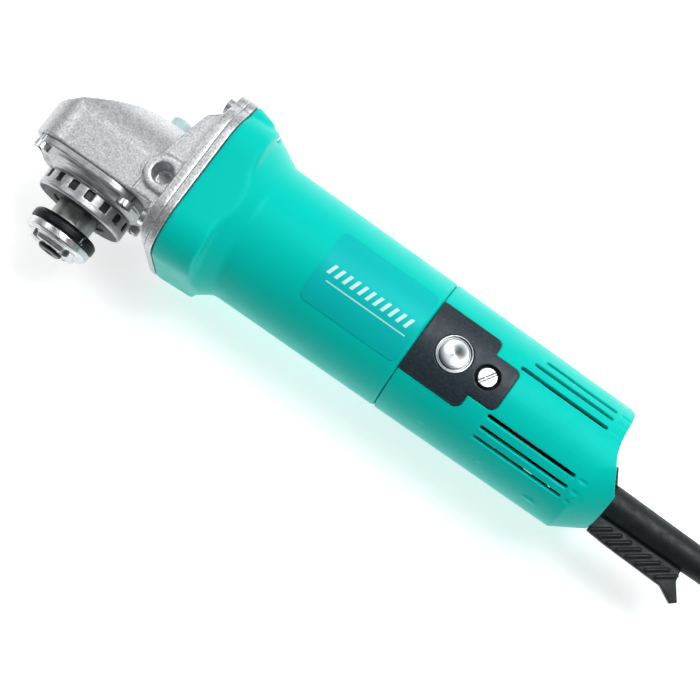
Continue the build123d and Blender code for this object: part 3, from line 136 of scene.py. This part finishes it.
class Finish:
    # one node material, built step by step
    def __init__(self, name, color, rough, metal=0.0):
        self.material = bpy.data.materials.new(name)
        self.material.use_nodes = True
        self.tree = self.material.node_tree
        self.shader = self.tree.nodes["Principled BSDF"]
        self.shader.inputs["Base Color"].default_value = (*color, 1)
        self.shader.inputs["Roughness"].default_value = rough
        self.shader.inputs["Metallic"].default_value = metal
        self.place = self.add("ShaderNodeTexCoord").outputs["Object"]
        self.lastNormal = None

    def add(self, kind, **values):
        node = self.tree.nodes.new(kind)
        for name, value in values.items():
            setattr(node, name, value)
        return node

    def link(self, a, b):
        self.tree.links.new(a, b)

    def stretch(self, scale):
        node = self.add("ShaderNodeMapping")
        node.inputs["Scale"].default_value = scale
        self.link(self.place, node.inputs["Vector"])
        return node.outputs["Vector"]

    def noise(self, size, detail=3.0, where=None):
        node = self.add("ShaderNodeTexNoise")
        node.inputs["Scale"].default_value = 1.0 / size
        node.inputs["Detail"].default_value = detail
        self.link(where or self.place, node.inputs["Vector"])
        return node.outputs["Fac"]

    def ramp(self, value, stops):
        node = self.add("ShaderNodeValToRGB")
        elements = node.color_ramp.elements
        while len(elements) < len(stops):
            elements.new(0.5)
        for element, (position, color) in zip(elements, stops):
            element.position = position
            element.color = (*color, 1)
        self.link(value, node.inputs["Fac"])
        return node.outputs["Color"]

    def level(self, value, low, high, fromLow=0.3, fromHigh=0.7):
        node = self.add("ShaderNodeMapRange")
        node.inputs["From Min"].default_value = fromLow
        node.inputs["From Max"].default_value = fromHigh
        node.inputs["To Min"].default_value = low
        node.inputs["To Max"].default_value = high
        self.link(value, node.inputs["Value"])
        return node.outputs["Result"]

    def math(self, operation, a, b=0.0, c=0.0):
        node = self.add("ShaderNodeMath", operation=operation)
        for socket, value in zip(node.inputs, (a, b, c)):
            if isinstance(value, (int, float)):
                socket.default_value = value
            else:
                self.link(value, socket)
        return node.outputs["Value"]

    def axes(self, where=None):
        node = self.add("ShaderNodeSeparateXYZ")
        self.link(where or self.place, node.inputs["Vector"])
        return node.outputs["X"], node.outputs["Y"], node.outputs["Z"]

    def mix(self, share, a, b):
        node = self.add("ShaderNodeMix", data_type="RGBA")
        for socket, value in ((node.inputs[0], share), (node.inputs[6], a), (node.inputs[7], b)):
            if isinstance(value, tuple):
                socket.default_value = (*value, 1)
            elif isinstance(value, float):
                socket.default_value = value
            else:
                self.link(value, socket)
        return node.outputs[2]

    def color(self, value):
        self.link(value, self.shader.inputs["Base Color"])

    def rough(self, value):
        self.link(value, self.shader.inputs["Roughness"])

    def bump(self, height, depth, strength=1.0):
        node = self.add("ShaderNodeBump")
        node.inputs["Strength"].default_value = strength
        node.inputs["Distance"].default_value = depth
        self.link(height, node.inputs["Height"])
        if self.lastNormal:
            self.link(self.lastNormal, node.inputs["Normal"])
        self.lastNormal = node.outputs["Normal"]
        self.link(self.lastNormal, self.shader.inputs["Normal"])

    def worn(self, plain, bare, amount=0.35):
        # sharp edges rub through to a brighter tone
        geometry = self.add("ShaderNodeNewGeometry")
        uneven = self.level(self.noise(0.004), 0.96, 1.04)
        patchy = self.math("MULTIPLY", geometry.outputs["Pointiness"], uneven)
        edge = self.level(patchy, 0.0, amount, 0.53, 0.62)
        return self.mix(edge, plain, bare)


def makeCast():
    f = Finish("sandCastAluminium", (0.70, 0.71, 0.73), 0.42, 0.82)
    tone = f.ramp(
        f.noise(0.0007, 2.0),
        [(0.32, (0.40, 0.41, 0.43)), (0.50, (0.60, 0.61, 0.63)), (0.74, (0.82, 0.83, 0.84))],
    )
    cloud = f.mix(f.level(f.noise(0.022, 4.0), 0.0, 0.25), tone, (0.58, 0.59, 0.62))
    f.color(f.worn(cloud, (0.94, 0.94, 0.95)))
    f.rough(f.level(f.noise(0.0016), 0.34, 0.50))
    f.bump(f.noise(0.0009, 2.0), 0.00008, 0.6)
    f.bump(f.noise(0.006, 3.0), 0.0002, 0.35)
    return f.material


def makeTeal(name, color, deep, rough):
    f = Finish(name, color, rough)
    f.color(f.worn(f.mix(f.level(f.noise(0.05, 2.0), 0.0, 0.35), color, deep), (0.15, 0.80, 0.72), 0.25))
    f.rough(f.level(f.noise(0.012, 4.0), rough - 0.05, rough + 0.07))
    f.bump(f.noise(0.00045, 1.0), 0.00003, 0.5)
    f.bump(f.noise(0.03, 1.0), 0.0003, 0.08)
    f.shader.inputs["Specular IOR Level"].default_value = 0.228
    f.shader.inputs["Specular Tint"].default_value = (0.10, 0.92, 0.86, 1)
    return f.material


def makeSlate():
    f = Finish("slatePlate", (0.018, 0.030, 0.042), 0.46)
    speck = f.ramp(f.noise(0.0009, 2.0), [(0.35, (0.013, 0.024, 0.033)), (0.75, (0.028, 0.044, 0.058))])
    f.color(f.worn(speck, (0.10, 0.13, 0.16), 0.4))
    f.shader.inputs["Specular IOR Level"].default_value = 0.3
    f.rough(f.level(f.noise(0.004), 0.36, 0.52))
    f.bump(f.noise(0.0006, 1.0), 0.00005, 0.7)
    return f.material


def makeLabelFilm():
    # a printed film: deeper teal, with a row of slanting strokes and a thin rule under them
    f = Finish("printedLabel", (0.003, 0.56, 0.55), 0.22)
    x, y, z = f.axes()
    along = f.math("SUBTRACT", x, layout["labelMiddle"][0] * mm)
    up = f.math("SUBTRACT", y, layout["labelMiddle"][1] * mm)
    slant = f.math("SUBTRACT", along, f.math("MULTIPLY", up, 0.34))
    strokes = f.math("LESS_THAN", f.math("FRACT", f.math("DIVIDE", slant, 0.0034)), 0.42)
    nearRow = f.math("ABSOLUTE", f.math("SUBTRACT", slant, 0.0015))
    inHeight = f.math("ABSOLUTE", f.math("ADD", up, 0.0005))
    inRow = f.math("MULTIPLY", f.math("LESS_THAN", nearRow, 0.0187), f.math("LESS_THAN", inHeight, 0.0021))
    offRule = f.math("ABSOLUTE", f.math("ADD", up, 0.0052))
    besideRule = f.math("ABSOLUTE", f.math("SUBTRACT", along, 0.0015))
    rule = f.math("MULTIPLY", f.math("LESS_THAN", offRule, 0.00025), f.math("LESS_THAN", besideRule, 0.0175))
    ink = f.math("MAXIMUM", f.math("MULTIPLY", strokes, inRow), f.math("MULTIPLY", rule, 0.75))
    film = f.mix(f.level(f.noise(0.02, 2.0), 0.0, 0.4), (0.003, 0.52, 0.50), (0.003, 0.45, 0.46))
    f.color(f.mix(ink, film, (0.62, 0.90, 0.86)))
    f.rough(f.level(f.noise(0.006, 4.0), 0.30, 0.40))
    f.bump(ink, 0.00003, 0.6)
    f.bump(f.noise(0.012, 2.0), 0.0001, 0.12)
    f.shader.inputs["Specular Tint"].default_value = (0.12, 0.92, 0.92, 1)
    return f.material


def makeRubber(name, color, rough=0.55):
    f = Finish(name, color, rough)
    bright = tuple(min(1.0, c * 2.2 + 0.01) for c in color)
    f.color(f.worn(f.mix(f.level(f.noise(0.008, 4.0), 0.0, 0.5), color, bright), bright, 0.5))
    f.rough(f.level(f.noise(0.003, 4.0), rough - 0.12, rough + 0.12))
    f.bump(f.noise(0.0006, 2.0), 0.00006, 0.7)
    f.shader.inputs["Specular IOR Level"].default_value = 0.3
    return f.material


def makeSteel(name, dark, light, rough, lathe=None):
    # turned steel, with fine rings round the axis it was turned on when lathe is given
    f = Finish(name, light, rough, 1.0)
    grain = f.noise(0.004, 5.0, f.stretch((1, 14, 1)) if lathe else None)
    f.color(f.worn(f.ramp(grain, [(0.32, dark), (0.68, light)]), (0.95, 0.95, 0.95), 0.5))
    f.rough(f.level(f.noise(0.0022, 4.0), rough - 0.1, rough + 0.12))
    f.bump(f.noise(0.0008, 3.0, f.stretch((1, 9, 1)) if lathe else None), 0.00004, 0.5)
    return f.material


def makeBrushed():
    # fine circular brushing round the emblem's middle, with a painted highlight on top: a bow-tie of two
    # bright and two dark lobes painted into the colour, standing in for the reflection off the spun disc
    f = Finish("brushedBadge", (0.66, 0.68, 0.70), 0.3, 1.0)
    x, y, z = f.axes()
    dx = f.math("SUBTRACT", x, layout["emblem"][0] * mm)
    dy = f.math("SUBTRACT", y, layout["emblem"][1] * mm)
    reach = f.math("SQRT", f.math("ADD", f.math("MULTIPLY", dx, dx), f.math("MULTIPLY", dy, dy)))
    rings = f.add("ShaderNodeCombineXYZ")
    f.link(f.math("MULTIPLY", reach, 60.0), rings.inputs["X"])
    brushing = f.noise(0.01, 6.0, rings.outputs["Vector"])
    turn = f.math("ARCTAN2", dy, dx)
    # painted reflection: fan sets the bow-tie by angle, with bright lobes for the painted highlight and dark
    # lobes between them
    fan = f.math("POWER", f.math("ABSOLUTE", f.math("COSINE", f.math("ADD", turn, 0.5))), 3.0)
    paintedBowtieSheen = f.mix(f.level(fan, 0.0, 0.9, 0.0, 1.0), (0.05, 0.06, 0.07), (0.66, 0.70, 0.72))
    f.color(f.mix(f.level(brushing, 0.0, 0.4), paintedBowtieSheen, (0.50, 0.52, 0.54)))
    f.rough(f.level(brushing, 0.2, 0.42))
    f.bump(brushing, 0.00004, 0.6)
    return f.material


def makeWound(name, color, dark, pitch):
    # enamelled wire laid turn beside turn
    f = Finish(name, color, 0.3, 0.7)
    x, y, z = f.axes()
    slope = f.math("ADD", y, f.math("MULTIPLY", z, 0.6))
    wave = f.math("ABSOLUTE", f.math("SINE", f.math("MULTIPLY", slope, math.pi / pitch)))
    f.color(f.mix(wave, dark, color))
    f.bump(wave, 0.0002, 0.8)
    f.rough(f.level(f.noise(0.003), 0.25, 0.42))
    return f.material


def makeLayered(name, light, dark):
    # thin stacked sheets, seen edge on along the motor axis
    f = Finish(name, light, 0.45, 0.9)
    x, y, z = f.axes()
    sheet = f.math("ABSOLUTE", f.math("SINE", f.math("MULTIPLY", x, math.pi / 0.0005)))
    f.color(f.mix(sheet, dark, light))
    f.bump(sheet, 0.00008, 0.6)
    f.rough(f.level(f.noise(0.004), 0.35, 0.55))
    return f.material


def makeFloor():
    f = Finish("paleFloor", (0.93, 0.93, 0.93), 0.7)
    f.color(f.mix(f.level(f.noise(0.4, 2.0), 0.0, 1.0), (0.92, 0.92, 0.92), (0.94, 0.94, 0.94)))
    f.shader.inputs["Emission Color"].default_value = (1, 1, 1, 1)
    f.shader.inputs["Emission Strength"].default_value = 0.62
    return f.material


looks = {
    "cast": makeCast(),
    "teal": makeTeal("tealHousing", (0.0018, 0.62, 0.53), (0.0012, 0.53, 0.45), 0.36),
    "label": makeLabelFilm(),
    "slate": makeSlate(),
    "rubber": makeRubber("guardRubber", (0.006, 0.009, 0.010), 0.5),
    "cord": makeRubber("cordSheath", (0.007, 0.009, 0.010), 0.46),
    "plastic": makeRubber("blackPlastic", (0.016, 0.017, 0.019), 0.4),
    "button": makeRubber("buttonPlastic", (0.42, 0.60, 0.62), 0.36),
    "rocker": makeRubber("rockerPlastic", (0.020, 0.022, 0.025), 0.36),
    # painted shade: a near-black turned-steel look for the inside of the bearing box
    "paintedBoxShade": makeSteel("paintedShadeAlloy", (0.03, 0.033, 0.035), (0.07, 0.075, 0.08), 0.5, True),
    # painted shade: a near-black look for the vents, the spigot and the screw recesses
    "paintedShade": makeRubber("shadedHollow", (0.004, 0.005, 0.006), 0.8),
    "nylon": makeRubber("whiteNylon", (0.55, 0.54, 0.50), 0.45),
    "red": makeRubber("redSleeve", (0.32, 0.02, 0.015), 0.42),
    "carbon": makeRubber("carbonBlock", (0.03, 0.03, 0.032), 0.6),
    "steel": makeSteel("turnedSteel", (0.38, 0.39, 0.41), (0.66, 0.67, 0.69), 0.30, True),
    "zinc": makeSteel("zincSteel", (0.42, 0.45, 0.47), (0.78, 0.80, 0.82), 0.26, True),
    "blackSteel": makeSteel("blackedSteel", (0.012, 0.014, 0.016), (0.035, 0.038, 0.042), 0.42, True),
    "bearingSteel": makeSteel("machinedAlloy", (0.30, 0.31, 0.33), (0.58, 0.59, 0.61), 0.38, True),
    "brass": makeSteel("brass", (0.45, 0.30, 0.10), (0.72, 0.52, 0.22), 0.30),
    "bronze": makeSteel("sinteredBronze", (0.26, 0.15, 0.06), (0.48, 0.30, 0.14), 0.42),
    "copper": makeWound("copperWinding", (0.72, 0.26, 0.09), (0.26, 0.07, 0.02), 0.0008),
    "copperBars": makeSteel("copperBars", (0.42, 0.15, 0.06), (0.72, 0.32, 0.16), 0.28),
    "layers": makeLayered("steelSheets", (0.42, 0.43, 0.45), (0.12, 0.12, 0.13)),
    "badge": makeBrushed(),
    "floor": makeFloor(),
}
print("materials made", len(looks))

# CAD nodes that keep their mesh
keptLooks = {
    "bearing_box_screws": "zinc", "flange_screws": "zinc", "bearing_retainer": "steel",
    "spindle_bearing": "steel", "dust_seal": "rubber", "top_bush": "bronze", "spindle": "blackSteel",
    "ring_gear": "steel", "lock_pin": "steel", "lock_spring": "zinc", "pinion": "steel",
    "armature_shaft": "steel", "armature_core": "layers", "armature_winding": "copper",
    "commutator": "copperBars", "fan": "plastic", "front_bearing": "steel", "rear_bearing": "steel",
    "rear_bearing_sleeve": "rubber", "stator_core": "layers", "stator_winding": "copper",
    "fan_baffle": "nylon", "label": "label", "brush_holders": "brass", "brushes": "carbon",
    "brush_springs": "zinc", "brush_caps": "brass", "switch_body": "plastic",
    "cord_core": "cord", "cord_clamp": "plastic", "clamp_screws": "zinc", "capacitor": "nylon",
    "lead_wires": "red",
}
for nodeName, look in keptLooks.items():
    finishWith(nodes[nodeName], looks[look])
print("kept nodes painted", len(keptLooks))

# moulded and cast pieces
# each takes the CAD shape and gives it the soft edges that its mould leaves:
# node: (piece, look, slot, grain of the new skin in mm, passes of smoothing, share of faces kept)
moulded = {
    "gear_housing": ("gearHousing", "cast", "cast_aluminium", 0.50, 8),
    "bearing_box": ("bearingBox", "bearingSteel", "cast_aluminium", 0.32, 2, 0.8),
    "front_bearing_plate": ("frontPlate", "cast", "cast_aluminium", 0.42, 3),
    "motor_housing": ("motorHousing", "teal", "teal_plastic", 0.80, 12),
    "rear_cover": ("rearCover", "teal", "teal_plastic", 0.33, 6, 0.42),
    "left_side_plate": ("leftSidePlate", "slate", "slate_plastic", 0.26, 4),
    "right_side_plate": ("rightSidePlate", "slate", "slate_plastic", 0.26, 4),
    "plate_screws": ("plateScrews", "zinc", "zinc_steel", 0.16, 3),
    "inner_flange": ("innerFlange", "blackSteel", "black_steel", 0.26, 3),
    "lock_nut": ("lockNut", "zinc", "zinc_steel", 0.22, 3),
    "lock_button": ("lockButton", "button", "button_plastic", 0.20, 4),
    "switch_rocker": ("switchRocker", "rocker", "black_plastic", 0.20, 5),
    "cord_guard": ("cordGuard", "rubber", "rubber", 0.30, 4),
    "plug_body": ("plugBody", "cord", "cord_pvc", 0.40, 8),
    "plug_pins": ("plugPins", "brass", "brass", 0.25, 4),
}


def mouldedCopy(nodeName, pieceName, look, slotName, grain, passes, kept=1.0):
    source = nodes[nodeName]
    piece = bpy.data.objects.new(pieceName, source.data.copy())
    bpy.context.scene.collection.objects.link(piece)
    faceOut(piece)
    if piece.data.has_custom_normals:
        bpy.ops.mesh.customdata_custom_splitnormals_clear()
    skin = piece.modifiers.new("skin", "REMESH")
    skin.mode = "VOXEL"
    skin.voxel_size = grain * mm
    soft = piece.modifiers.new("soft", "SMOOTH")
    soft.factor = 0.5
    soft.iterations = passes
    if kept < 1:
        piece.modifiers.new("thin", "DECIMATE").ratio = kept
    applyAll(piece)
    pickOnly(piece)
    bpy.ops.object.shade_smooth()
    finishWith(piece, looks[look])
    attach(piece, source["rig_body"])
    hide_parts(nodeName)
    return piece


def paintWhere(piece, look, test):
    # faces whose middle passes the test, in millimetres, take a second look
    piece.data.materials.append(looks[look])
    for face in piece.data.polygons:
        x, y, z = face.center / mm
        if test(x, y, z):
            face.material_index = 1


mouldedPieces = {}
for nodeName, recipe in moulded.items():
    made = mouldedCopy(nodeName, *recipe)
    mouldedPieces[nodeName] = made
    print("moulded", made.name, sum(len(p.vertices) - 2 for p in made.data.polygons), "triangles")

# painted shade: the faces inside the vents, inside the motor housing's spigot and down the screw recesses
# take a near-black look that stands in for the shade there
recess = {
    "axisY": 33.4, "spigot": 25.3, "behind": 151.0, "before": 207.0,
    "screwX": 162.2, "screwR": 5.1, "seat": 22.0,
}
boxHollow = {"radius": 17.9}


def inBox(x, y, z):
    # painted shade: the floors of the collar's notches, and everything inside the box, take a near-black
    # look that stands in for the shade there
    return math.hypot(x, z) < boxHollow["radius"]


def inSpigot(x, y, z):
    return x > recess["behind"] and math.hypot(y - recess["axisY"], z) < recess["spigot"]


def inCover(x, y, z):
    nearScrew = math.hypot(x - recess["screwX"], y - recess["axisY"]) < recess["screwR"]
    inside = x < recess["before"] and math.hypot(y - recess["axisY"], z) < recess["spigot"]
    return inside or (nearScrew and abs(z) > recess["seat"])


paintWhere(mouldedPieces["motor_housing"], "paintedShade", inSpigot)
paintWhere(mouldedPieces["rear_cover"], "paintedShade", inCover)
# painted shade inside the bearing box and on the floors of its notches
paintWhere(mouldedPieces["bearing_box"], "paintedBoxShade", inBox)
print("hollows painted")

# badges on the side plates
badge = {"radius": 7.0, "seat": 27.05, "height": 0.8, "rim": 0.55, "dish": 0.35}


def makeBadge(side):
    # a spun disc: bevelled rim, a groove inside it and a shallow dish in the middle
    x, y = layout["emblem"]
    bpy.ops.mesh.primitive_cylinder_add(
        vertices=96, radius=badge["radius"] * mm, depth=badge["height"] * mm,
        location=(x * mm, y * mm, side * (badge["seat"] + badge["height"] / 2) * mm),
    )
    piece = bpy.context.active_object
    piece.name = "badgeLeft" if side > 0 else "badgeRight"
    settle(piece)
    bpy.ops.object.mode_set(mode="EDIT")
    bpy.ops.mesh.select_all(action="DESELECT")
    bpy.ops.object.mode_set(mode="OBJECT")
    for face in piece.data.polygons:
        face.select = face.normal.z * side > 0.9
    bpy.ops.object.mode_set(mode="EDIT")
    bpy.ops.mesh.select_mode(type="FACE")
    steps = [
        (badge["rim"], 0.0), (0.25, -badge["dish"]), (0.45, 0.0), (0.25, badge["dish"] * 0.8),
        (1.3, 0.12), (1.5, -0.08), (1.3, -0.16), (0.6, -0.04),
    ]
    for inward, outward in steps:
        bpy.ops.mesh.inset(thickness=inward * mm, depth=outward * mm)
    bpy.ops.object.mode_set(mode="OBJECT")
    edge = piece.modifiers.new("edge", "BEVEL")
    edge.width = 0.12 * mm
    edge.segments = 3
    edge.limit_method = "ANGLE"
    applyAll(piece)
    faceOut(piece)
    bpy.ops.object.shade_smooth_by_angle(angle=math.radians(35))
    finishWith(piece, looks["badge"])
    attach(piece, "tool")
    return piece


badges = [makeBadge(side) for side in (1, -1)]
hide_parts("emblem_discs")
print("badges made")

# cord
cordFacts = {
    "turnRadii": (42.5, 35.5, 28.5, 32.0, 39.0, 46.0, 42.5),
    "turnLayers": (0, 0, 0, 1, 1, 1, 2),
    "layerRise": 6.1,
    "turns": 6.5,
    "pointsPerTurn": 18,
    "coilMiddle": (386.0, 60.0),
    "run": [
        (290.7, 27.3, 0.0), (306.0, 27.3, 0.0), (323.0, 26.4, -6.5), (342.0, 23.0, -19.0),
        (362.0, 18.4, -27.6),
    ],
    "tail": [
        (372.0, 104.6, -16.6), (361.0, 105.0, -21.4), (352.0, 103.9, -27.0), (338.0, 99.5, -26.6),
    ],
}


def coilPoints(facts):
    # turn beside turn, then up a layer: it climbs first and moves sideways after
    count = facts["pointsPerTurn"]
    grow = 1.0 / math.cos(math.pi / count)
    floorLevel = layout["floorZ"] + layout["cordRadius"] + 0.15
    points = []
    for step in range(int(facts["turns"] * count) + 1):
        turn = min(step // count, len(facts["turnRadii"]) - 1)
        after = min(turn + 1, len(facts["turnRadii"]) - 1)
        share = max(0.0, (step / count - turn - 0.7) / 0.3)
        climb = facts["turnLayers"][after] - facts["turnLayers"][turn]
        sideways = max(0.0, 2 * share - 1) if climb else share
        rise = min(1.0, 2 * share) if climb else share
        radius = facts["turnRadii"][turn] * (1 - sideways) + facts["turnRadii"][after] * sideways
        layer = facts["turnLayers"][turn] + climb * rise
        angle = -math.pi / 2 + 2 * math.pi * step / count
        x = facts["coilMiddle"][0] + radius * grow * math.cos(angle)
        y = facts["coilMiddle"][1] + radius * grow * math.sin(angle)
        points.append((x, y, floorLevel + layer * facts["layerRise"]))
    return points


def makeCord(facts):
    curve = bpy.data.curves.new("powerCord", "CURVE")
    curve.dimensions = "3D"
    line = curve.splines.new("NURBS")
    points = facts["run"] + coilPoints(facts) + facts["tail"]
    line.points.add(len(points) - 1)
    for spot, point in zip(line.points, points):
        spot.co = (point[0] * mm, point[1] * mm, point[2] * mm, 1)
    line.order_u = 3
    line.use_endpoint_u = True
    line.resolution_u = 6
    curve.bevel_depth = layout["cordRadius"] * mm
    curve.bevel_resolution = 6
    curve.use_fill_caps = True
    piece = bpy.data.objects.new("powerCord", curve)
    bpy.context.scene.collection.objects.link(piece)
    curve.materials.append(looks["cord"])
    return piece


flex = makeCord(cordFacts)
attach(flex, "tool")
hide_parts("power_cord", "plug_cord", "cord_coil")
print("cord laid")

# floor, light, world
studio = {
    "floorSize": 16.0, "floorDrop": 0.4,
    "worldColor": (1.0, 1.0, 1.0), "worldDim": (0.28, 0.30, 0.30), "worldStrength": 0.40,
}
floorLevel = (layout["floorZ"] - studio["floorDrop"]) * mm
bpy.ops.mesh.primitive_plane_add(size=studio["floorSize"], location=(0.15, 0.03, floorLevel))
floor = bpy.context.active_object
floor.name = "floor"
settle(floor)
finishWith(floor, looks["floor"])

world = bpy.data.worlds.new("studio")
bpy.context.scene.world = world
world.use_nodes = True
backdrop = world.node_tree.nodes["Background"]
backdrop.inputs["Strength"].default_value = studio["worldStrength"]
# dim below the tool in view and bright above it, as between a dark bench and a window
place = world.node_tree.nodes.new("ShaderNodeTexCoord")
split = world.node_tree.nodes.new("ShaderNodeSeparateXYZ")
fade = world.node_tree.nodes.new("ShaderNodeValToRGB")
fade.color_ramp.elements[0].color = (*studio["worldDim"], 1)
fade.color_ramp.elements[0].position = 0.15
fade.color_ramp.elements[1].color = (*studio["worldColor"], 1)
fade.color_ramp.elements[1].position = 0.75
span = world.node_tree.nodes.new("ShaderNodeMapRange")
span.inputs["From Min"].default_value = -1.0
world.node_tree.links.new(place.outputs["Generated"], split.inputs["Vector"])
world.node_tree.links.new(split.outputs["Y"], span.inputs["Value"])
world.node_tree.links.new(span.outputs["Result"], fade.inputs["Fac"])
world.node_tree.links.new(fade.outputs["Color"], backdrop.inputs["Color"])

lamps = {
    "key": {"at": (0.35, 0.50, 0.95), "size": 0.6, "watts": 9.2},
    "head": {"at": (-0.60, 0.25, 0.70), "size": 0.4, "watts": 1.2},
}
for name, lamp in lamps.items():
    bpy.ops.object.light_add(type="AREA", location=lamp["at"])
    light = bpy.context.active_object
    light.name = name
    light.data.size = lamp["size"]
    light.data.energy = lamp["watts"]
    aim = Vector((0.1, 0.03, 0.0)) - Vector(lamp["at"])
    light.rotation_euler = aim.to_track_quat("-Z", "Y").to_euler()
bpy.context.scene.view_settings.view_transform = "Standard"
print("studio lit")
